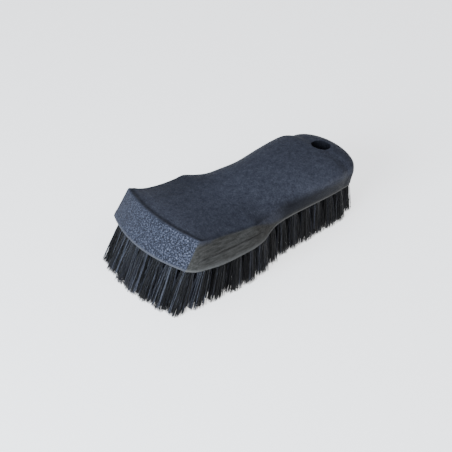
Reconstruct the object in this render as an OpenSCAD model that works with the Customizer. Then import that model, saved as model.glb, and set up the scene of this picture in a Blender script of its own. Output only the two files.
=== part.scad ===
// Hand-held block brush for wheels: a one-piece moulded block with a wide
// bevelled head, a waist and a rounded tail with a hanging hole, and rows of
// bristle tufts, each folded over a flat steel anchor at the bottom of its hole.
// Millimetres. X runs from the head to the tail, Y is across, Z is up, and the
// cut bristle tips lie in Z = 0.

/* [Block] */
// Height of the block's underside above the bristle tips, at the head
trim_len = 30; // [22:0.5:38]
// Drop of the underside towards the tail, per mm of length
trim_fall = 0.02; // [0:0.005:0.04]
// How far the middle of the front face bows forward
front_bow = 7.9; // [0:0.1:12]
// How far the bevelled front leans back for each mm of height
front_lean = 0.657; // [0.3:0.001:1]
// Length of the rounded tail end beyond the hanging hole's centre
tail_end = 18; // [17:0.1:24]
// Number of cross-sections along the block
section_count = 44; // [24:1:60]

/* [Hanging hole] */
// Hanging hole radius
hang_r = 6.35; // [4:0.05:8]

/* [Tufts] */
// Radius of a tuft hole
tuft_hole_r = 2.75; // [2:0.05:3.5]
// Depth of a tuft hole, along its own axis
tuft_hole_depth = 7.5; // [5:0.1:9]
// Radius of a tuft where it sits in its hole
tuft_root_r = 2.7; // [1.9:0.05:3.4]
// Radius of a tuft at its cut tip
tuft_tip_r = 4.4; // [3:0.1:5]
// Distance from one row of tufts to the next
row_pitch = 11.2; // [9:0.1:13]
// Position of the first row behind the front corners
first_row = 7.5; // [5:0.1:10]
// Sideways lean of a tuft's tip per mm away from the centre line
side_lean = 0.04; // [0:0.005:0.1]

/* [Anchors] */
// Anchor strip thickness
anchor_t = 0.5; // [0.3:0.05:1]
// Anchor strip height
anchor_h = 2; // [1:0.1:3]
// Anchor strip length, across the hole and into its walls
anchor_l = 6.9; // [5.6:0.1:8]

/* [Hidden] */

x_mid = 73;    // the assembly's middle, measured from the front corners
xc = 143;       // centre of the tail's round end and of the hanging hole

// The block's shape along its length, heights above the underside:
// distance behind the front corners, rim half width, parting line half width
// and height, upper crease half width and height, crown height, and the
// crown's form (2 is a parabola that meets the side at a crease, 1 an ellipse,
// less than 1 fuller at the shoulders)
shape = [
  [  0, 37.5, 37.4,  2.6, 36.6, 17.0, 18.2, 2.0],
  [  5, 41.6, 39.8,  5.0, 36.3, 16.6, 18.1, 2.0],
  [ 12, 43.4, 40.4,  6.0, 35.6, 15.2, 17.6, 2.0],
  [ 24, 45.0, 41.0,  6.6, 35.2, 13.4, 16.6, 2.0],
  [ 38, 44.4, 40.9,  6.8, 35.4, 11.9, 15.7, 2.0],
  [ 48, 43.5, 40.4,  6.7, 36.2, 11.4, 15.4, 1.9],
  [ 55, 42.1, 39.4,  6.3, 36.6, 11.6, 15.6, 1.8],
  [ 62, 39.5, 37.6,  5.6, 33.8, 10.4, 16.1, 1.5],
  [ 69, 35.6, 34.6,  4.3, 31.6,  9.3, 16.9, 1.3],
  [ 78, 31.8, 31.6,  3.0, 30.4,  8.8, 18.3, 1.1],
  [ 92, 29.4, 29.4,  2.0, 29.4,  8.8, 20.2, 1.0],
  [110, 28.0, 28.4,  2.0, 30.4, 11.2, 22.2, 0.90],
  [124, 27.2, 27.6,  2.0, 31.2, 13.0, 22.8, 0.80],
  [135, 26.2, 26.8,  2.0, 30.8, 13.8, 22.8, 0.72],
  [143, 25.0, 25.4,  2.0, 28.6, 12.4, 22.0, 0.80]
];
last = len(shape) - 1;

// Smooth interpolation through the table
function slope(i, j) =
  i == last ? 0
  : i == 0 ? (shape[1][j] - shape[0][j]) / (shape[1][0] - shape[0][0])
  : (shape[i + 1][j] - shape[i - 1][j]) / (shape[i + 1][0] - shape[i - 1][0]);
function span(x, i = 0) = i >= last - 1 || x < shape[i + 1][0] ? i : span(x, i + 1);
function at(x, j) =
  let (i = span(x), h = shape[i + 1][0] - shape[i][0], t = (x - shape[i][0]) / h)
  (2 * t * t * t - 3 * t * t + 1) * shape[i][j]
  + (t * t * t - 2 * t * t + t) * h * slope(i, j)
  + (3 * t * t - 2 * t * t * t) * shape[i + 1][j]
  + (t * t * t - t * t) * h * slope(i + 1, j);

// Height of the underside
function under(x) = trim_len - trim_fall * x;

// The front's bow and lean fade out behind the head's first third
function fade(x) = 0.5 * (1 + cos(180 * min(x / 34, 1)));
function bow(y) = front_bow * max(0, 1 - (y / 37.5) * (y / 37.5));

// One side of a cross-section, from below the rim to just short of the crown
// line, as half width, height and reach beyond xc at the tail's end. What is
// below the rim is cut off flat.
crown_n = 7;
skirt = 6;
function side(x) = concat(
  [
    [at(x, 1), -skirt, tail_end],
    [at(x, 1), 0, tail_end],
    [at(x, 2), at(x, 3), tail_end - 0.4],
    [at(x, 4), at(x, 5), tail_end - 1.6]
  ],
  [for (k = [1:crown_n - 1]) let (t = 90 * k / crown_n)
    [at(x, 4) * cos(t), at(x, 5) + (at(x, 6) - at(x, 5)) * pow(sin(t), at(x, 7)), (tail_end - 1.6) * cos(t)]]
);
function place(x, y, z) =
  let (px = x + fade(x) * (front_lean * z - bow(y))) [px, y, z + under(px)];
function place_end(a, p) =
  let (px = xc + p[2] * sin(a)) [px, p[0] * -cos(a), p[1] + under(px)];

m = crown_n + 3;          // points on one side of a section
ring = 2 * m + 1;         // points on a whole section
xs = concat([0, 1.2, 3], [for (k = [0:section_count - 1]) 5 + (xc - 5) * k / (section_count - 1)]);
ns = len(xs);
fan_n = 20;               // steps round the tail end
body_pts = [for (x = xs) let (s = side(x), top = [at(x, 6)])
  each concat(
    [for (p = s) place(x, -p[0], p[1])],
    [place(x, 0, at(x, 6))],
    [for (k = [m - 1:-1:0]) place(x, s[k][0], s[k][1])]
  )];
end_pts = [for (f = [1:fan_n - 1]) let (a = 180 * f / fan_n) for (p = side(xc)) place_end(a, p)];
e0 = ns * ring;           // first point of the tail end
f0 = e0 + (fan_n - 1) * m; // first point of the front's lower edge
// Points along the front's lower edge, one below each crown point
front_pts = [for (k = [4:ring - 5]) let (y = body_pts[k][1] * 37.5 / 36.6) place(0, y, -skirt)];
nf = ring - 8;

function b(i, j) = i * ring + j;
centre = b(ns - 1, m);
// Side column f of the tail end, 0 and fan_n being the last section's two sides
function e(f, j) = f == 0 ? b(ns - 1, j) : f == fan_n ? b(ns - 1, ring - 1 - j) : e0 + (f - 1) * m + j;

block_faces = concat(
  [for (i = [0:ns - 2]) for (j = [0:ring - 2]) each [
    [b(i, j), b(i, j + 1), b(i + 1, j + 1)],
    [b(i, j), b(i + 1, j + 1), b(i + 1, j)]
  ]],
  [for (f = [0:fan_n - 1]) for (j = [0:m - 2]) each [
    [e(f, j), e(f, j + 1), e(f + 1, j + 1)],
    [e(f, j), e(f + 1, j + 1), e(f + 1, j)]
  ]],
  [for (f = [0:fan_n - 1]) [e(f, m - 1), centre, e(f + 1, m - 1)]],
  // bevelled front face
  [for (k = [0:nf - 2]) each [
    [f0 + k, f0 + k + 1, b(0, 5 + k)],
    [f0 + k, b(0, 5 + k), b(0, 4 + k)]
  ]],
  [
    [b(0, 0), f0, b(0, 4)], [b(0, 0), b(0, 4), b(0, 3)],
    [b(0, 0), b(0, 3), b(0, 2)], [b(0, 0), b(0, 2), b(0, 1)],
    [b(0, ring - 1), b(0, ring - 5), f0 + nf - 1],
    [b(0, ring - 1), b(0, ring - 4), b(0, ring - 5)],
    [b(0, ring - 1), b(0, ring - 3), b(0, ring - 4)],
    [b(0, ring - 1), b(0, ring - 2), b(0, ring - 3)]
  ],
  // below the rim
  [concat(
    [for (i = [0:ns - 1]) b(i, 0)],
    [for (f = [1:fan_n - 1]) e(f, 0)],
    [for (i = [ns - 1:-1:0]) b(i, ring - 1)],
    [for (k = [nf - 1:-1:0]) f0 + k]
  )]
);

// Tuft rows: half span, number across, bow of the row, forward lean of the tips
rows = [
  [32.2, 7, 5.6, -12.5],
  [34.0, 7, 4.5, -9.5],
  [34.6, 7, 3, -6.5],
  [34.6, 7, 1.5, -4],
  [33.6, 7, 0.5, -2],
  [31.0, 6, 0, -0.8],
  [26.6, 6, 0, 0],
  [24.2, 5, 0, 0],
  [23.0, 5, 0, 0],
  [22.0, 5, 0, 0],
  [21.0, 5, 0, 0],
  [20.0, 5, 0, 0.2],
  [18.6, 4, 0, 0.5],
  [12.6, 4, -1.2, 0.5]
];
// Positions across the block: evenly spaced, but split round the hanging hole
function across(i) =
  i == 12 ? [-18.6, -10.9, 10.9, 18.6]
  : i == 13 ? [-12.6, -4.8, 4.8, 12.6]
  : [for (k = [0:rows[i][1] - 1]) rows[i][0] * (2 * k / (rows[i][1] - 1) - 1)];
function tuft_x(i, y) = first_row + row_pitch * i - rows[i][2] * (1 - y * y / (rows[i][0] * rows[i][0]));

// A tuft's own frame: origin where its axis meets the underside, Z into the block
module tuft_frame(i, y) {
  x = tuft_x(i, y);
  h = under(x);
  lx = rows[i][3];
  ly = side_lean * y;
  tilt = atan(norm([lx, ly]) / h);
  turn = norm([lx, ly]) == 0 ? 0 : atan2(-ly, -lx);
  translate([x, y, h]) rotate([0, 0, turn]) rotate([0, tilt, 0]) rotate([0, 0, -turn]) children();
}

module anchor() {
  translate([-anchor_l / 2, -anchor_t / 2, tuft_hole_depth - 1 - anchor_h])
    cube([anchor_l, anchor_t, anchor_h]);
}

module tuft() {
  translate([0, 0, -0.5]) cylinder(h = tuft_hole_depth + 0.5, r = tuft_root_r, $fn = 32);
  translate([0, 0, -44]) cylinder(h = 44, r1 = tuft_root_r + (tuft_tip_r - tuft_root_r) * 44 / trim_len, r2 = tuft_root_r, $fn = 32);
}

module tuft_row(i) {
  color("#26262a") translate([-x_mid, 0, 0]) difference() {
    for (y = across(i)) tuft_frame(i, y) difference() {
      tuft();
      anchor();
    }
    translate([-60, -80, -40]) cube([280, 160, 40]);
  }
}

module anchor_row(i) {
  color("#b9bcc0") translate([-x_mid, 0, 0])
    for (y = across(i)) tuft_frame(i, y) anchor();
}

module handle_block() {
  color("#2e3036") translate([-x_mid, 0, 0]) difference() {
    difference() {
      polyhedron(points = concat(body_pts, end_pts, front_pts), faces = block_faces);
      translate([0, 0, trim_len]) rotate([0, atan(trim_fall), 0])
        translate([-60, -80, -60]) cube([300, 160, 60]);
    }
    translate([xc, 0, 10]) cylinder(h = 60, r = hang_r, $fn = 64);
    for (i = [0:len(rows) - 1]) for (y = across(i)) tuft_frame(i, y) {
      translate([0, 0, -3]) cylinder(h = tuft_hole_depth + 3, r = tuft_hole_r, $fn = 32);
      anchor();
    }
  }
}

handle_block();
tuft_row(0);  // tufts_01
tuft_row(1);  // tufts_02
tuft_row(2);  // tufts_03
tuft_row(3);  // tufts_04
tuft_row(4);  // tufts_05
tuft_row(5);  // tufts_06
tuft_row(6);  // tufts_07
tuft_row(7);  // tufts_08
tuft_row(8);  // tufts_09
tuft_row(9);  // tufts_10
tuft_row(10);  // tufts_11
tuft_row(11);  // tufts_12
tuft_row(12);  // tufts_13
tuft_row(13);  // tufts_14
anchor_row(0);  // anchors_01
anchor_row(1);  // anchors_02
anchor_row(2);  // anchors_03
anchor_row(3);  // anchors_04
anchor_row(4);  // anchors_05
anchor_row(5);  // anchors_06
anchor_row(6);  // anchors_07
anchor_row(7);  // anchors_08
anchor_row(8);  // anchors_09
anchor_row(9);  // anchors_10
anchor_row(10);  // anchors_11
anchor_row(11);  // anchors_12
anchor_row(12);  // anchors_13
anchor_row(13);  // anchors_14
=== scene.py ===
import math
import bpy
import numpy as np
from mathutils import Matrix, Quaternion, Vector, geometry


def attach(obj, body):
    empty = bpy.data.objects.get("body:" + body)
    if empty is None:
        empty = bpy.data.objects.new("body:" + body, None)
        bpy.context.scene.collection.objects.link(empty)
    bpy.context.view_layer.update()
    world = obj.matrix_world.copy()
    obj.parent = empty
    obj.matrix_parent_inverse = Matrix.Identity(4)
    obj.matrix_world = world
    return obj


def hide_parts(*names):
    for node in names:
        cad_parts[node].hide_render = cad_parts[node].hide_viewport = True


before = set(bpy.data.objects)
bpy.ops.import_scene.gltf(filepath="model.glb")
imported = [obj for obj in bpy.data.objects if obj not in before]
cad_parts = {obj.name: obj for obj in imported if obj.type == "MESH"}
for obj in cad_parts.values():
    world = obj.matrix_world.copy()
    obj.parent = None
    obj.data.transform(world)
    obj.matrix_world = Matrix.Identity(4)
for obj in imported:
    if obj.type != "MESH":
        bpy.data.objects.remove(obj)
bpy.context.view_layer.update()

# ---------------------------------------------------------------- the block's numbers, mm
X_MID = 73.0
XE = XC = 143.0       # centre of the tail's round end, and of the hanging hole
TAIL = 18.0           # reach of the round end beyond XE, at the rim
TAIL_P, TAIL_C = TAIL - 0.4, TAIL - 1.6
HANG_R = 6.35
TRIM, FALL = 30.0, 0.02
BOW, LEAN = 7.9, 0.657
HOLE_R, HOLE_D = 2.75, 7.5
SHAPE = np.array([
    [  0, 37.5, 37.4,  2.6, 36.6, 17.0, 18.2, 2.0],
    [  5, 41.6, 39.8,  5.0, 36.3, 16.6, 18.1, 2.0],
    [ 12, 43.4, 40.4,  6.0, 35.6, 15.2, 17.6, 2.0],
    [ 24, 45.0, 41.0,  6.6, 35.2, 13.4, 16.6, 2.0],
    [ 38, 44.4, 40.9,  6.8, 35.4, 11.9, 15.7, 2.0],
    [ 48, 43.5, 40.4,  6.7, 36.2, 11.4, 15.4, 1.9],
    [ 55, 42.1, 39.4,  6.3, 36.6, 11.6, 15.6, 1.8],
    [ 62, 39.5, 37.6,  5.6, 33.8, 10.4, 16.1, 1.5],
    [ 69, 35.6, 34.6,  4.3, 31.6,  9.3, 16.9, 1.3],
    [ 78, 31.8, 31.6,  3.0, 30.4,  8.8, 18.3, 1.1],
    [ 92, 29.4, 29.4,  2.0, 29.4,  8.8, 20.2, 1.0],
    [110, 28.0, 28.4,  2.0, 30.4, 11.2, 22.2, 0.90],
    [124, 27.2, 27.6,  2.0, 31.2, 13.0, 22.8, 0.80],
    [135, 26.2, 26.8,  2.0, 30.8, 13.8, 22.8, 0.72],
    [143, 25.0, 25.4,  2.0, 28.6, 12.4, 22.0, 0.80]])
ROWS = [(32.2, 7, 5.6, -12.5), (34, 7, 4.5, -9.5), (34.6, 7, 3, -6.5), (34.6, 7, 1.5, -4),
        (33.6, 7, 0.5, -2), (31, 6, 0, -0.8), (26.6, 6, 0, 0), (24.2, 5, 0, 0),
        (23, 5, 0, 0), (22, 5, 0, 0), (21, 5, 0, 0), (20, 5, 0, 0.2),
        (18.6, 4, 0, 0.5), (12.6, 4, -1.2, 0.5)]
FIRST, PITCH, SIDE_LEAN = 7.5, 11.2, 0.04


def slopes(ys):
    xs = SHAPE[:, 0]
    m = np.zeros(len(xs))
    m[1:-1] = (ys[2:] - ys[:-2]) / (xs[2:] - xs[:-2])
    m[0] = (ys[1] - ys[0]) / (xs[1] - xs[0])
    return m


SLOPES = [slopes(SHAPE[:, j]) for j in range(8)]


def at(x, j):
    xs = SHAPE[:, 0]
    k = int(min(max(np.searchsorted(xs, x, side="right") - 1, 0), len(xs) - 2))
    h = xs[k + 1] - xs[k]
    t = (x - xs[k]) / h
    return ((2 * t**3 - 3 * t**2 + 1) * SHAPE[k, j] + (t**3 - 2 * t**2 + t) * h * SLOPES[j][k]
            + (3 * t**2 - 2 * t**3) * SHAPE[k + 1, j] + (t**3 - t**2) * h * SLOPES[j][k + 1])


def under(x):
    return TRIM - FALL * x


def fade(x):
    return 0.5 * (1 + math.cos(math.pi * min(x / 34, 1)))


def bow(y):
    return BOW * max(0.0, 1 - (y / 37.5) ** 2)


def place(x, y, z):
    px = x + fade(x) * (LEAN * z - bow(y))
    return np.array([px, y, z + under(px)])


def crown_z(x, y):
    """Height of the top over a point behind the head, above the underside's own line."""
    if x < XE:
        w, zc, zt, q = at(x, 4), at(x, 5), at(x, 6), at(x, 7)
        rho2 = (y / w) ** 2
    else:
        w, zc, zt, q = at(XE, 4), at(XE, 5), at(XE, 6), at(XE, 7)
        rho2 = ((x - XE) / TAIL_C) ** 2 + (y / w) ** 2
    return zc + (zt - zc) * max(0.0, 1 - rho2) ** (q / 2)


def bez(a, c, b, n):
    return [a * (1 - t) ** 2 + 2 * c * t * (1 - t) + b * t**2 for t in np.linspace(0, 1, n)]


CROWN_N = 34          # crown points on one side
RIM_F = 0.9


def smooth(t):
    t = min(max(t, 0.0), 1.0)
    return t * t * (3 - 2 * t)


def crease_round(x):
    """The crease is crisp along the head and melts into the tail's round side."""
    return 0.8 + 2.4 * smooth((x - 55.0) / 35.0)


LIP = 0.7


def lip(x):
    """The low raised edge along the top of the bevel, which falls away behind it."""
    return LIP * (1 - smooth(x / 4.8))


def groove_depth(x):
    """The parting line's groove: along the head's sides, dying out in the waist."""
    return 0.5 * smooth((x - 1.0) / 5.0) * smooth((66.0 - x) / 10.0)


def profile(x):
    """One side of a section with its rounded edges: rows of half width, height, reach beyond XE."""
    wr, wp, zp, wc, zc, zt, q = [at(x, j) for j in range(1, 8)]
    zc, zt = zc + lip(x), zt + lip(x)
    A = np.array([wr, 0.0, TAIL])
    B = np.array([wp, zp, TAIL_P])
    C = np.array([wc, zc, TAIL_C])

    def crown(t):
        return np.array([wc * math.cos(t), zc + (zt - zc) * math.sin(t) ** q, TAIL_C * math.cos(t)])

    def unit(v):
        return v / math.hypot(v[0], v[1])
    ab, bc = unit(B - A), unit(C - B)
    f = min(RIM_F, 0.4 * zp)
    pts = bez(A + np.array([-RIM_F, 0, -RIM_F]), A, A + ab * f, 6)
    # groove across the parting line
    g = groove_depth(x)
    n = np.array([ab[1] + bc[1], -(ab[0] + bc[0]), 0.0])
    n = unit(n)
    if n[0] < 0:
        n = -n
    hw = 0.75
    len_ab = math.hypot(*(B - A)[:2])
    hw = min(hw, (len_ab - f) * 0.4)
    a0 = A + ab * f
    a1 = B - ab * hw
    pts += [a0 + (a1 - a0) * t for t in (0.33, 0.66)]
    pts += [a1, B - ab * hw * 0.55 - n * g * 0.12, B - ab * hw * 0.3 - n * g * 0.75, B - n * g,
            B + bc * hw * 0.3 - n * g * 0.75, B + bc * hw * 0.55 - n * g * 0.12, B + bc * hw]
    # crease
    cf = crease_round(x)
    b1 = B + bc * hw
    c0 = C - bc * cf
    pts += [b1 + (c0 - b1) * t for t in (0.25, 0.5, 0.75)]
    tc = 0.02
    while tc < 0.5 and math.hypot(*(crown(tc) - C)[:2]) < cf:
        tc += 0.005
    pts += bez(c0, C, crown(tc), 7)
    pts += [crown(tc + (math.pi / 2 - tc) * k / CROWN_N) for k in range(1, CROWN_N)]
    return pts, (zt,)


NW = len(profile(30)[0]) - (CROWN_N - 1)      # points up to the crown's start
M = len(profile(30)[0])                        # points on one side
RING = 2 * M + 1


def whole(x):
    pts, (zt,) = profile(x)
    near = [place(x, -p[0], p[1]) for p in pts]
    far = [place(x, p[0], p[1]) for p in pts[::-1]]
    return near + [place(x, 0, zt)] + far


verts, faces, mats = [], [], []


def add(p):
    verts.append(tuple(p))
    return len(verts) - 1


def quad(a, b, c, d, m=0):
    ids = []
    for i in (a, b, c, d):
        if i not in ids:
            ids.append(i)
    if len(ids) > 2:
        faces.append(ids)
        mats.append(m)


# ---- skin along the body
EDGE = 1.1                                     # rounding between the skin and the front face
xs = [EDGE, 2.0, 3.0, 4.2] + list(np.linspace(5.5, XE, 150))
rings = [[add(p) for p in whole(x)] for x in xs]
for a, b in zip(rings, rings[1:]):
    for j in range(RING - 1):
        quad(a[j], a[j + 1], b[j + 1], b[j])
# ---- skin round the tail's end
FAN = 64
end_pts, _ = profile(XE)
cols = [rings[-1][:M]]
for f in range(1, FAN):
    a = math.pi * f / FAN
    col = []
    for p in end_pts:
        px = XE + p[2] * math.sin(a)
        col.append(add((px, -p[0] * math.cos(a), p[1] + under(px))))
    cols.append(col)
cols.append(rings[-1][::-1][:M])
apex = rings[-1][M]
for a, b in zip(cols, cols[1:]):
    for j in range(M - 1):
        quad(a[j], a[j + 1], b[j + 1], b[j])
    quad(a[M - 1], apex, b[M - 1], b[M - 1])

# ---- front face: a rounded edge all round, then a grid
edge = [np.array(p) for p in whole(0)]
n_c = RING - 2 * (NW - 1)                      # points along the top edge, both ends included
y_top = [edge[NW - 1 + k][1] for k in range(n_c)]
y_bot0, y_bot1 = edge[0][1], edge[-1][1]
ys_bot = [y_bot0 + (y_bot1 - y_bot0) * (y - y_top[0]) / (y_top[-1] - y_top[0]) for y in y_top]
bottom_edge = [place(0, y, 0) for y in ys_bot]             # near to far
loop_E = edge + bottom_edge[-2:0:-1]                       # closed loop
front_under = [p + np.array([EDGE, 0, 0]) for p in bottom_edge[-2:0:-1]]
for p in front_under:
    p[2] = under(p[0])
front_under_ids = [add(p) for p in front_under]
loop_B = rings[0] + front_under_ids


def face_yz(p):
    """A point of the front face as (y, height above the underside)."""
    return p[1], p[2] - under(p[0])


H = 17.6


def face_point(y, z):
    return place(0, y, z)


loop_I = []
for p in loop_E:
    y, z = face_yz(p)
    top = 18.2 + LIP - 1.2 * min(1, (y / 36.6) ** 2)
    z2 = EDGE * 0.85 + z * (top - 2 * EDGE * 0.85) / top
    y2 = y * (1 - EDGE / 37.0)
    loop_I.append(face_point(y2, z2))
ROUND = 5
prev = loop_B
n_loop = len(loop_E)
for s in range(1, ROUND + 1):
    t = s / ROUND
    cur = []
    for j in range(n_loop):
        B = np.array(verts[loop_B[j]])
        p = B * (1 - t) ** 2 + 2 * loop_E[j] * t * (1 - t) + loop_I[j] * t * t
        cur.append(add(p))
    for j in range(n_loop):
        k = (j + 1) % n_loop
        quad(prev[j], cur[j], cur[k], prev[k], 1 if s > 3 else 0)
    prev = cur
# grid inside: walls are its left and right sides, the crown its top
near_ids = prev[:NW]
far_ids = prev[RING - NW:RING][::-1]
top_ids = prev[NW - 1:NW - 1 + n_c]
bot_ids = [prev[0]] + prev[RING:][::-1] + [prev[RING - 1]]


def yz(i):
    return np.array(face_yz(np.array(verts[i])))


near_yz, far_yz = [yz(i) for i in near_ids], [yz(i) for i in far_ids]
top_yz, bot_yz = [yz(i) for i in top_ids], [yz(i) for i in bot_ids]
grid = [[None] * n_c for _ in range(NW)]
vs = [near_yz[r][1] / near_yz[-1][1] for r in range(NW)]
v0 = vs[0]
vs = [(v - v0) / (1 - v0) for v in vs]
us = [(top_yz[c][0] - top_yz[0][0]) / (top_yz[-1][0] - top_yz[0][0]) for c in range(n_c)]
for r in range(NW):
    for c in range(n_c):
        if r == 0:
            grid[r][c] = bot_ids[c]
        elif r == NW - 1:
            grid[r][c] = top_ids[c]
        elif c == 0:
            grid[r][c] = near_ids[r]
        elif c == n_c - 1:
            grid[r][c] = far_ids[r]
        else:
            u, v = us[c], vs[r]
            p = ((1 - u) * near_yz[r] + u * far_yz[r] + (1 - v) * bot_yz[c] + v * top_yz[c]
                 - (1 - u) * (1 - v) * near_yz[0] - u * (1 - v) * far_yz[0]
                 - (1 - u) * v * near_yz[-1] - u * v * far_yz[-1])
            grid[r][c] = add(face_point(p[0], p[1]))
for r in range(NW - 1):
    for c in range(n_c - 1):
        quad(grid[r][c], grid[r + 1][c], grid[r + 1][c + 1], grid[r][c + 1], 1)


# ---- tufts: where each one stands and how it leans
def across(i):
    if i == 12:
        return [-18.6, -10.9, 10.9, 18.6]
    if i == 13:
        return [-12.6, -4.8, 4.8, 12.6]
    h, n = ROWS[i][:2]
    return [h * (2 * k / (n - 1) - 1) for k in range(n)]


def tuft(i, y):
    h, n, b, lx = ROWS[i]
    x = FIRST + PITCH * i - b * (1 - y * y / (h * h))
    z = under(x)
    up = np.array([-lx, -SIDE_LEAN * y, z])
    up = up / np.linalg.norm(up)
    return np.array([x, y, z]), up


TUFTS = [[tuft(i, y) for y in across(i)] for i in range(14)]


def side_axes(up):
    e1 = np.cross(np.array([0.0, 1.0, 0.0]), up)
    e1 /= np.linalg.norm(e1)
    return e1, np.cross(up, e1)


# ---- underside: flat, with the tuft holes and the hanging hole
outline = ([r[0] for r in rings] + [c[0] for c in cols[1:-1]] + [r[-1] for r in rings[::-1]] + front_under_ids)
hole_loops = []
first_hole = len(verts)                        # vertices from here on belong to holes, or are well above the rim
for row in TUFTS:
    for o, up in row:
        e1, e2 = side_axes(up)
        loop, top = [], []
        for k in range(24):
            a = 2 * math.pi * k / 24
            d = HOLE_R * (math.cos(a) * e1 + math.sin(a) * e2)
            p = o + d
            # slide along the axis to the underside
            t = (TRIM - FALL * p[0] - p[2]) / (up[2] + FALL * up[0])
            loop.append(add(p + up * t))
            top.append(add(o + d + up * HOLE_D))
        for k in range(24):
            quad(loop[k], top[k], top[(k + 1) % 24], loop[(k + 1) % 24])
        faces.append(top[::-1])
        mats.append(0)
        hole_loops.append(loop)
NH = 72
ang = [2 * math.pi * k / NH for k in range(NH)]


def ring_under(r, dz):
    return [add((XC + r * math.cos(a), r * math.sin(a), under(XC + r * math.cos(a)) + dz)) for a in ang]


def join(lo, hi):
    n = len(lo)
    for k in range(n):
        quad(lo[k], hi[k], hi[(k + 1) % n], lo[(k + 1) % n])


F_LOW = 0.5
low = ring_under(HANG_R + F_LOW, 0)
hole_loops.append(low)
chain = low
for t in (0.33, 0.66, 1.0):
    nxt = ring_under(HANG_R + F_LOW * (1 - math.sin(t * math.pi / 2)), F_LOW * (1 - math.cos(t * math.pi / 2)))
    join(chain, nxt)
    chain = nxt

# top opening: the skin near the hole is taken away and laid again round it
R_CUT = 12.5
F_TOP = 0.9
V = np.array(verts)
top_like = set()
for r in rings:
    top_like.update(r[NW:RING - NW])
for c in cols:
    top_like.update(c[NW:])
top_like.add(apex)
inside = {i for i in top_like if math.hypot(V[i][0] - XC, V[i][1]) < R_CUT}
keep, cut_edges = [], {}
for fi, f in enumerate(faces):
    if any(i in inside for i in f):
        for a, b in zip(f, f[1:] + f[:1]):
            cut_edges[(a, b)] = cut_edges.get((a, b), 0) + 1
    else:
        keep.append(fi)
faces = [faces[i] for i in keep]
mats = [mats[i] for i in keep]
border = {a: b for (a, b) in cut_edges if (b, a) not in cut_edges}
start = next(iter(border))
loop, k = [start], border[start]
while k != start:
    loop.append(k)
    k = border[k]
top_loop = loop


def crown_world(x, y):
    return crown_z(x, y) + under(x)


def top_ring(r, sink=0.0):
    return [add((XC + r * math.cos(a), r * math.sin(a), crown_world(XC + r * math.cos(a), r * math.sin(a)) - sink))
            for a in ang]


rim_r = HANG_R + F_TOP
patch_rings = [top_ring(r) for r in (rim_r, rim_r + 0.5, rim_r + 1.2, rim_r + 2.1, rim_r + 3.0)]
outer = patch_rings[-1]
for a, b in zip(patch_rings, patch_rings[1:]):
    join(b, a)
# between the outer ring and the cut edge
V = np.array(verts)


def inside_poly(c, poly):
    """Which of the points c lie inside a closed polygon."""
    hit = np.zeros(len(c), dtype=bool)
    for (x0, y0), (x1, y1) in zip(poly, np.roll(poly, -1, axis=0)):
        if y0 != y1:
            hit ^= ((y0 > c[:, 1]) != (y1 > c[:, 1])) & (c[:, 0] < (x1 - x0) * (c[:, 1] - y0) / (y1 - y0) + x0)
    return hit


def fill(loops, flip):
    """Triangles between an outer loop and the loops inside it."""
    ids = [i for lp in loops for i in lp]
    pos = [Vector((V[i][0], V[i][1])) for i in ids]
    edges, base = [], 0
    for lp in loops:
        n = len(lp)
        edges += [(base + k, base + (k + 1) % n) for k in range(n)]
        base += n
    out = geometry.delaunay_2d_cdt(pos, edges, [], 0, 1e-7, True)
    ov, tris, orig = np.array([tuple(v) for v in out[0]]), np.array(out[2]), out[3]
    back = [ids[o[0]] if o else None for o in orig]
    c = ov[tris].mean(axis=1)
    ok = inside_poly(c, V[loops[0]][:, :2])
    for lp in loops[1:]:
        poly = V[lp][:, :2]
        lo, hi = poly.min(axis=0), poly.max(axis=0)
        near = np.where(ok & (c >= lo).all(axis=1) & (c <= hi).all(axis=1))[0]
        if len(near):
            ok[near[inside_poly(c[near], poly)]] = False
    for t in tris[ok]:
        tri = [back[i] for i in t]
        if None in tri:
            continue
        a, b, d = [V[i] for i in tri]
        up_ = (b[0] - a[0]) * (d[1] - a[1]) - (b[1] - a[1]) * (d[0] - a[0]) > 0
        faces.append(tri if up_ != flip else tri[::-1])
        mats.append(0)


fill([top_loop, outer], False)
chain_t = patch_rings[0]
for t in (0.12, 0.25, 0.4, 0.55, 0.7, 0.85, 1.0):
    a_ = t * math.pi / 2
    nxt = top_ring(HANG_R + F_TOP * (1 - math.sin(a_)), F_TOP * (1 - math.cos(a_)))
    join(nxt, chain_t)
    chain_t = nxt
join(chain, chain_t)
V = np.array(verts)
fill([outline] + hole_loops, True)


def mesh_object(name, vs, fs, mat_ids, materials, angle=None):
    """A mesh from points in mm; fs is a list of faces."""
    co = np.array(vs, dtype=float)
    co[:, 0] -= X_MID
    co /= 1000
    me = bpy.data.meshes.new(name)
    sizes = np.fromiter((len(f) for f in fs), dtype=np.int32, count=len(fs))
    me.vertices.add(len(co))
    me.vertices.foreach_set("co", co.ravel().astype(np.float32))
    me.loops.add(int(sizes.sum()))
    me.loops.foreach_set("vertex_index", np.fromiter((i for f in fs for i in f), dtype=np.int32))
    me.polygons.add(len(sizes))
    me.polygons.foreach_set("loop_start", (np.cumsum(sizes) - sizes).astype(np.int32))
    for m in materials:
        me.materials.append(m)
    me.polygons.foreach_set("material_index", np.array(mat_ids, dtype=np.int32))
    me.polygons.foreach_set("use_smooth", np.ones(len(sizes), dtype=bool))
    me.update(calc_edges=True)
    me.validate()
    if angle:
        me.set_sharp_from_angle(angle=math.radians(angle))
    o = bpy.data.objects.new(name, me)
    bpy.context.scene.collection.objects.link(o)
    return o


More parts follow.
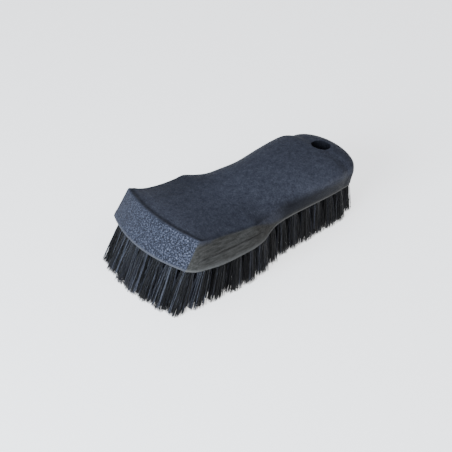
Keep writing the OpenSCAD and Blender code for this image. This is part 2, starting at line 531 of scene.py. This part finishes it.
# ---------------------------------------------------------------- materials
def principled(name, color, rough, metallic=0.0, **more):
    m = bpy.data.materials.new(name)
    m.use_nodes = True
    b = m.node_tree.nodes["Principled BSDF"]
    b.inputs["Base Color"].default_value = (*color, 1)
    b.inputs["Roughness"].default_value = rough
    b.inputs["Metallic"].default_value = metallic
    for k, v in more.items():
        b.inputs[k.replace("_", " ")].default_value = v
    return m, m.node_tree, b


def noise(nt, vec, scale, detail=4.0, rough=0.6):
    n = nt.nodes.new("ShaderNodeTexNoise")
    n.inputs["Scale"].default_value = scale
    n.inputs["Detail"].default_value = detail
    n.inputs["Roughness"].default_value = rough
    nt.links.new(vec, n.inputs["Vector"])
    return n


def ramp(nt, fac, stops):
    r = nt.nodes.new("ShaderNodeValToRGB")
    els = r.color_ramp.elements
    while len(els) < len(stops):
        els.new(0.5)
    for e, (p, c) in zip(els, stops):
        e.position = p
        e.color = (*c, 1)
    nt.links.new(fac, r.inputs["Fac"])
    return r


def link_mix(nt, fac, a, b):
    """A colour mix; a and b are sockets or plain colours."""
    x = nt.nodes.new("ShaderNodeMixRGB")
    nt.links.new(fac, x.inputs[0])
    for k, v in ((1, a), (2, b)):
        if isinstance(v, tuple):
            x.inputs[k].default_value = (*v, 1)
        else:
            nt.links.new(v, x.inputs[k])
    return x.outputs[0]


def attribute(nt, name):
    a = nt.nodes.new("ShaderNodeAttribute")
    a.attribute_name = name
    return a.outputs["Fac"]


def scaled(nt, fac, k, plus=0.0):
    m = nt.nodes.new("ShaderNodeMath")
    m.operation = "MULTIPLY_ADD"
    m.inputs[1].default_value = k
    m.inputs[2].default_value = plus
    nt.links.new(fac, m.inputs[0])
    return m.outputs[0]


def moulded(name, stops, rough, gloss, fine, coarse, bump_f, bump_c, side=None, across=None, rim=None):
    """Moulded plastic. stops: colours over the fine grain; a coarser mottling shades them.
    side: the paler, rougher, streaky finish of the lower sides, where the mesh's lower-side mask is 1; along the
    tail's bottom that paler band is a painted reflection of the floor. With side given, the colour is also scaled by
    the mesh's painted light and shade.
    across: the even colour that the grain gives way to at the far end of the front, a painted shade where less light
    falls on that end of the face.
    rim highlight: a painted highlight along the block's lower edge, the colour mixed in where the mesh's lower-edge
    mask is 1."""
    m, nt, b = principled(name, stops[1][1], rough)
    b.inputs["Specular IOR Level"].default_value = gloss
    tc = nt.nodes.new("ShaderNodeTexCoord")
    vec = tc.outputs["Object"]
    n1 = noise(nt, vec, coarse, 5, 0.62)
    n2 = noise(nt, vec, fine, 2.5, 0.65)
    col = ramp(nt, n2.outputs["Fac"], stops).outputs["Color"]
    # painted shade: toward the far end of the front face the grain gives way to an even colour
    if across:
        sep = nt.nodes.new("ShaderNodeSeparateXYZ")
        nt.links.new(vec, sep.inputs[0])
        mr = nt.nodes.new("ShaderNodeMapRange")
        mr.inputs["From Min"].default_value = -0.026
        mr.inputs["From Max"].default_value = 0.032
        mr.inputs["To Min"].default_value = 0.0
        mr.inputs["To Max"].default_value = 0.55
        nt.links.new(sep.outputs["Y"], mr.inputs["Value"])
        col = link_mix(nt, mr.outputs[0], col, across)
    shade = ramp(nt, n1.outputs["Fac"], [(0.32, (0.78, 0.78, 0.80)), (0.5, (1, 1, 1)), (0.68, (1.24, 1.24, 1.22))])
    mul = nt.nodes.new("ShaderNodeMixRGB")
    mul.blend_type = "MULTIPLY"
    mul.inputs[0].default_value = 1.0
    nt.links.new(col, mul.inputs[1])
    nt.links.new(shade.outputs["Color"], mul.inputs[2])
    col = mul.outputs[0]
    # painted light and shade: the colour is scaled by the mesh's tone attribute
    if side:
        sc_ = nt.nodes.new("ShaderNodeVectorMath")
        sc_.operation = "SCALE"
        nt.links.new(col, sc_.inputs[0])
        nt.links.new(attribute(nt, "tone"), sc_.inputs["Scale"])
        col = sc_.outputs[0]
    r = nt.nodes.new("ShaderNodeMapRange")
    r.inputs["To Min"].default_value = rough - 0.08
    r.inputs["To Max"].default_value = rough + 0.10
    nt.links.new(n1.outputs["Fac"], r.inputs["Value"])
    rough_out = r.outputs[0]
    if side:
        s_low, s_high, s_rough = side
        finish_and_painted_reflection_fac = attribute(nt, "finish_and_painted_reflection")
        mp = nt.nodes.new("ShaderNodeMapping")
        mp.inputs["Scale"].default_value = (0.10, 1.0, 1.0)
        nt.links.new(vec, mp.inputs["Vector"])
        n3 = noise(nt, mp.outputs[0], 1100, 3, 0.7)
        sc = ramp(nt, n3.outputs["Fac"], [(0.34, s_low), (0.66, s_high)])
        # paler, rougher finish of the lower sides; along the tail's bottom a painted reflection of the floor
        col = link_mix(nt, finish_and_painted_reflection_fac, col, sc.outputs["Color"])
        ad = nt.nodes.new("ShaderNodeMath")
        nt.links.new(rough_out, ad.inputs[0])
        nt.links.new(scaled(nt, finish_and_painted_reflection_fac, s_rough - rough), ad.inputs[1])
        rough_out = ad.outputs[0]
    # painted highlight along the block's lower edge
    if rim:
        col = link_mix(nt, scaled(nt, attribute(nt, "rim"), 0.8), col, rim)
    nt.links.new(col, b.inputs["Base Color"])
    nt.links.new(rough_out, b.inputs["Roughness"])
    b1 = nt.nodes.new("ShaderNodeBump")
    b1.inputs["Strength"].default_value = bump_f
    b1.inputs["Distance"].default_value = 0.0004
    nt.links.new(n2.outputs["Fac"], b1.inputs["Height"])
    b2 = nt.nodes.new("ShaderNodeBump")
    b2.inputs["Strength"].default_value = bump_c
    b2.inputs["Distance"].default_value = 0.0008
    nt.links.new(n1.outputs["Fac"], b2.inputs["Height"])
    nt.links.new(b1.outputs[0], b2.inputs["Normal"])
    nt.links.new(b2.outputs[0], b.inputs["Normal"])
    return m


# the lower-edge colours in both calls below are painted highlights
skin = moulded("block_skin",
               [(0.30, (0.0235, 0.0252, 0.0335)), (0.5, (0.0325, 0.0350, 0.0460)), (0.70, (0.0430, 0.0458, 0.0600))],
               0.50, 0.02, 900, 300, 0.7, 0.45,
               side=((0.021, 0.0206, 0.0192), (0.047, 0.0462, 0.0440), 0.70), rim=(0.075, 0.075, 0.073))
# across paints shade at the far end of the front face
front = moulded("block_front_grain",
                [(0.38, (0.0050, 0.0058, 0.0100)), (0.47, (0.013, 0.0155, 0.0245)), (0.55, (0.032, 0.0365, 0.055)),
                 (0.66, (0.088, 0.097, 0.135))],
                0.62, 0.12, 1150, 420, 0.9, 0.4, across=(0.021, 0.0235, 0.0330), rim=(0.055, 0.058, 0.070))
bristle_tones = []
for tone_name, colour, rough_ in (("bristle_black", (0.0018, 0.0018, 0.0021), 0.36),
                                  ("bristle_char", (0.0045, 0.0046, 0.0058), 0.40),
                                  ("bristle_grey", (0.017, 0.0182, 0.0260), 0.42),
                                  ("bristle_brown", (0.009, 0.0080, 0.0070), 0.45),
                                  ("bristle_pale", (0.068, 0.074, 0.096), 0.40)):
    tone = principled(tone_name, colour, rough_)
    tone[2].inputs["Specular IOR Level"].default_value = 0.2
    bristle_tones.append(tone[0])
steel = principled("anchor_steel", (0.60, 0.61, 0.63), 0.32, 1.0)[0]

# ---------------------------------------------------------------- the block
block = mesh_object("handle_block_moulded", verts, faces, mats, [skin, front], 42)


def finish_and_painted_reflection_at(x, z):
    """1 on the lower sides, 0 on the top: the edge follows the crease on the head and drops through the waist. The
    paler band it gives along the tail's bottom is a painted reflection of the floor.
    """
    zx = min(max(x, 0.0), XE)
    t = smooth((zx - 52.0) / 34.0)
    edge_z = (1 - t) * at(zx, 5) + t * 2.0
    half = 0.35 + t * 1.6
    return smooth((edge_z + half - (z - under(x))) / (2 * half))


# painted highlight: a band from about 0.35 to 1.7 mm above the underside
def rim_at(x, z):
    h = z - under(x)
    return smooth(h / 0.35) * smooth((1.7 - h) / 0.7)


def bell(t):
    return math.exp(-t * t)


def painted_shading_at(x, j, p):
    """Painted light and shade on the skin at point j of section x: painted shade behind the lip, along the
    crease, across the head's sides and on the lower sides of the waist and tail, and painted light at the front of
    the top."""
    h, on_top = p[2] - under(p[0]), j >= NW - 4
    tone = 1.0
    if on_top:
        # painted shade behind the lip, along the crease and across the head's sides, then painted light at the front
        tone *= 1 - 0.46 * bell((x - 2.8) / 2.4)
        tone *= 1 - 0.30 * bell((at(x, 4) - abs(p[1])) / 2.2) * (1 - smooth((x - 60) / 20))
        tone *= 1 - 0.22 * bell((x - 50) / 17) * smooth((abs(p[1]) - 4) / 20)
        tone *= 1 + 0.30 * (1 - smooth((x - 6) / 24))
    # painted shade on the lower sides of the waist and tail
    tone *= 1 - 0.72 * smooth((x - 70) / 20) * (1 - smooth((h - 8.5) / 7.0))
    return tone


# painted light and shade on the skin, kept in the mesh's tone attribute
painted_shading = np.ones(len(verts), dtype=np.float32)
for x, r in zip(xs, rings):
    for j, k in enumerate(r):
        painted_shading[k] = painted_shading_at(x, min(j, RING - 1 - j), verts[k])
for c in cols[1:-1]:
    for j, k in enumerate(c):
        painted_shading[k] = painted_shading_at(XE, j, verts[k])
# painted shade: the bore of the hanging hole is darkened
bore = [k for k, v in enumerate(verts) if k >= first_hole and math.hypot(v[0] - XC, v[1]) < HANG_R + 0.3]
painted_shading[bore] = 0.3
block.data.attributes.new("tone", "FLOAT", "POINT").data.foreach_set("value", painted_shading)
# painted highlight along the lower edge, on the skin and front face only
rim_a = block.data.attributes.new("rim", "FLOAT", "POINT")
rim_a.data.foreach_set("value", np.array([rim_at(v[0], v[2]) if k < first_hole else 0.0
                                          for k, v in enumerate(verts)], dtype=np.float32))
# lower-side finish mask; along the tail's bottom it carries a painted reflection of the floor
finish_and_painted_reflection_attr = block.data.attributes.new("finish_and_painted_reflection", "FLOAT", "POINT")
finish_and_painted_reflection = np.array([finish_and_painted_reflection_at(v[0], v[2]) for v in verts], dtype=np.float32)
finish_and_painted_reflection[bore] = 0.0
finish_and_painted_reflection_attr.data.foreach_set("value", finish_and_painted_reflection)
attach(block, "root")
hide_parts("handle_block")

# ---------------------------------------------------------------- the bristles
PER_TUFT = 340
STEPS = 6
rng = np.random.default_rng(7)


def filaments(i):
    """All filaments of one row: thin three-sided prisms, slightly curved, from their holes to the cut tips."""
    all_v, all_f, all_m, base = [], [], [], 0
    ys = across(i)
    for j, (o, up) in enumerate(TUFTS[i]):
        e1, e2 = side_axes(up)
        n = int(PER_TUFT * (1.3 if i == 0 else 1.0))
        k = np.arange(n)
        r = np.sqrt((k + 0.5) / n)
        a = k * 2.399963 + rng.normal(0, 0.12, n)
        ca, sa = np.cos(a), np.sin(a)
        # the tips fill a rounded square: half the pitch along the brush, half the spacing across it
        sq = np.maximum(np.abs(ca), np.abs(sa)) ** -0.6
        left = (ys[j] - ys[j - 1]) / 2 + 0.9 if j > 0 else 4.6
        right = (ys[j + 1] - ys[j]) / 2 + 0.9 if j < len(ys) - 1 else 4.6
        half_y = np.where(sa > 0, min(right, 7.0), min(left, 7.0))
        half_x = 5.2 if i == 0 else 6.1
        clump = rng.normal(0, 0.3, 2)
        wob = rng.normal(0, 0.6, (n, 2))
        tip1 = r**0.9 * half_x * sq * ca + wob[:, 0] + clump[0]
        tip2 = r**0.9 * half_y * sq * sa + wob[:, 1] + clump[1]
        root = 2.35 * r

        def out(u, v, base_p):
            return base_p + u[:, None] * e1 + v[:, None] * e2
        p_root = out(root * ca, root * sa, o + up * (HOLE_D - 2.5))
        p_mouth = out(root * 1.06 * ca, root * 1.06 * sa, o)
        down = -up * (o[2] / up[2])
        cut = np.abs(rng.normal(0.15, 0.42, n)) + (rng.random(n) < 0.07) * rng.random(n) * 1.5
        bend = rng.normal(0, 0.36, (n, 2))
        crimp = rng.normal(0, 0.09, (n, 2))
        ph = rng.random((n, 2)) * 6.283
        path = [p_root, p_mouth]
        for s in range(1, STEPS + 1):
            t = s / STEPS
            f = t**0.5                             # the bundle opens out soon after it leaves its hole
            c = 2 * t * (1 - t)
            w = 0.0 if s == STEPS else 1.0
            u = root * 1.06 * ca * (1 - f) + tip1 * f + bend[:, 0] * c + w * crimp[:, 0] * np.sin(t * 17 + ph[:, 0])
            v = root * 1.06 * sa * (1 - f) + tip2 * f + bend[:, 1] * c + w * crimp[:, 1] * np.sin(t * 15 + ph[:, 1])
            q = out(u, v, o + down * t)
            # shorten to the cut plane, which is level
            q[:, 2] = o[2] * (1 - t) + cut * t
            path.append(q)
        turn = rng.random(n) * 2.1
        vs = np.zeros((n, len(path), 3, 3))
        for s, q in enumerate(path):
            w = 0.175 * (1 - 0.25 * max(0, s - 1) / STEPS)
            for c in range(3):
                g = turn + c * 2.0943951
                vs[:, s, c] = q + w * (np.cos(g)[:, None] * e1 + np.sin(g)[:, None] * e2)
        rings_n = len(path)
        start = base + k * rings_n * 3
        per = [start[:, None] + np.array([3 * s + c, 3 * s + (c + 1) % 3, 3 * s + 3 + (c + 1) % 3, 3 * s + 3 + c])
               for s in range(rings_n - 1) for c in range(3)]
        sides = np.stack(per, axis=1).reshape(-1, 4)
        last = 3 * (rings_n - 1)
        ends = np.concatenate([start[:, None] + np.array([last, last + 1, last + 2]), start[:, None] + np.array([2, 1, 0])])
        u = rng.random(n)
        # the front rows carry more pale and grey filaments than the rest: painted light, for the light falling on
        # the front of the brush
        shares_with_painted_front_light = (0.42, 0.66, 0.84, 0.89) if i < 2 else (0.56, 0.82, 0.92, 0.97)
        tone = np.select([u < c for c in shares_with_painted_front_light], [0, 1, 2, 3], 4)
        all_v.append(vs.reshape(-1, 3))
        all_f.append((sides, ends))
        all_m.append((np.repeat(tone, len(per)), np.concatenate([tone, tone])))
        base += n * rings_n * 3
    quads = np.concatenate([f[0] for f in all_f])
    tris = np.concatenate([f[1] for f in all_f])
    ids = np.concatenate([m[0] for m in all_m] + [m[1] for m in all_m])
    return np.concatenate(all_v), quads.tolist() + tris.tolist(), ids


for i in range(14):
    vs_, fs_, ms_ = filaments(i)
    o = mesh_object(f"bristles_{i + 1:02d}", vs_, fs_, ms_, bristle_tones)
    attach(o, "root")
    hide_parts(f"tufts_{i + 1:02d}")
    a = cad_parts[f"anchors_{i + 1:02d}"]
    if a.type == "MESH":
        a.data.materials.clear()
        a.data.materials.append(steel)

# ---------------------------------------------------------------- floor, light, camera
bpy.ops.mesh.primitive_plane_add(size=6, location=(0, 0, 0))
floor = bpy.context.object
floor.name = "floor"
floor_mat, _, floor_b = principled("floor_white", (0.85, 0.85, 0.85), 0.9)
floor_b.inputs["Specular IOR Level"].default_value = 0.1
floor_b.inputs["Emission Color"].default_value = (1, 1, 1, 1)
floor_b.inputs["Emission Strength"].default_value = 1.35
floor.data.materials.append(floor_mat)

world = bpy.data.worlds.new("studio")
bpy.context.scene.world = world
world.use_nodes = True
wt = world.node_tree
bg = wt.nodes["Background"]
wc_ = wt.nodes.new("ShaderNodeTexCoord")
dot = wt.nodes.new("ShaderNodeVectorMath")
dot.operation = "DOT_PRODUCT"
dot.inputs[1].default_value = (-0.62, 0.10, 0.78)
wt.links.new(wc_.outputs["Generated"], dot.inputs[0])
span_ = wt.nodes.new("ShaderNodeMapRange")
span_.inputs["From Min"].default_value = -1.0
wt.links.new(dot.outputs["Value"], span_.inputs["Value"])
sky = ramp(wt, span_.outputs[0], [(0.0, (0.18, 0.18, 0.18)), (0.5, (0.22, 0.222, 0.23)), (0.75, (0.66, 0.70, 0.78)),
                                  (1.0, (1.0, 1.08, 1.25))])
wt.links.new(sky.outputs["Color"], bg.inputs["Color"])
bg.inputs["Strength"].default_value = 1.0


def area(name, loc, target, size, power, color):
    d = bpy.data.lights.new(name, "AREA")
    d.shape = "RECTANGLE"
    d.size, d.size_y = size
    d.energy = power
    d.color = color
    o = bpy.data.objects.new(name, d)
    o.location = loc
    o.rotation_mode = "QUATERNION"
    o.rotation_quaternion = (Vector(target) - Vector(loc)).to_track_quat("-Z", "Y")
    bpy.context.scene.collection.objects.link(o)
    return o


area("key", (-0.80, -0.22, 0.36), (-0.05, 0, 0.02), (0.45, 0.45), 17.0, (0.80, 0.90, 1.0))
area("fill", (0.05, -0.60, 0.70), (0, 0, 0.03), (0.5, 0.4), 2.2, (1.0, 0.98, 0.95))

cam_d = bpy.data.cameras.new("camera")
cam = bpy.data.objects.new("camera", cam_d)
bpy.context.scene.collection.objects.link(cam)
cam.location = (-0.4125, -0.4759, 0.4482)
aim = Vector((-0.0113, -0.0004, 0.0173))
cam.rotation_mode = "QUATERNION"
cam.rotation_quaternion = (aim - cam.location).to_track_quat("-Z", "Y") @ Quaternion((0, 0, 1), math.radians(1.63))
cam_d.sensor_width = 36
cam_d.lens = 93.2
bpy.context.scene.camera = cam
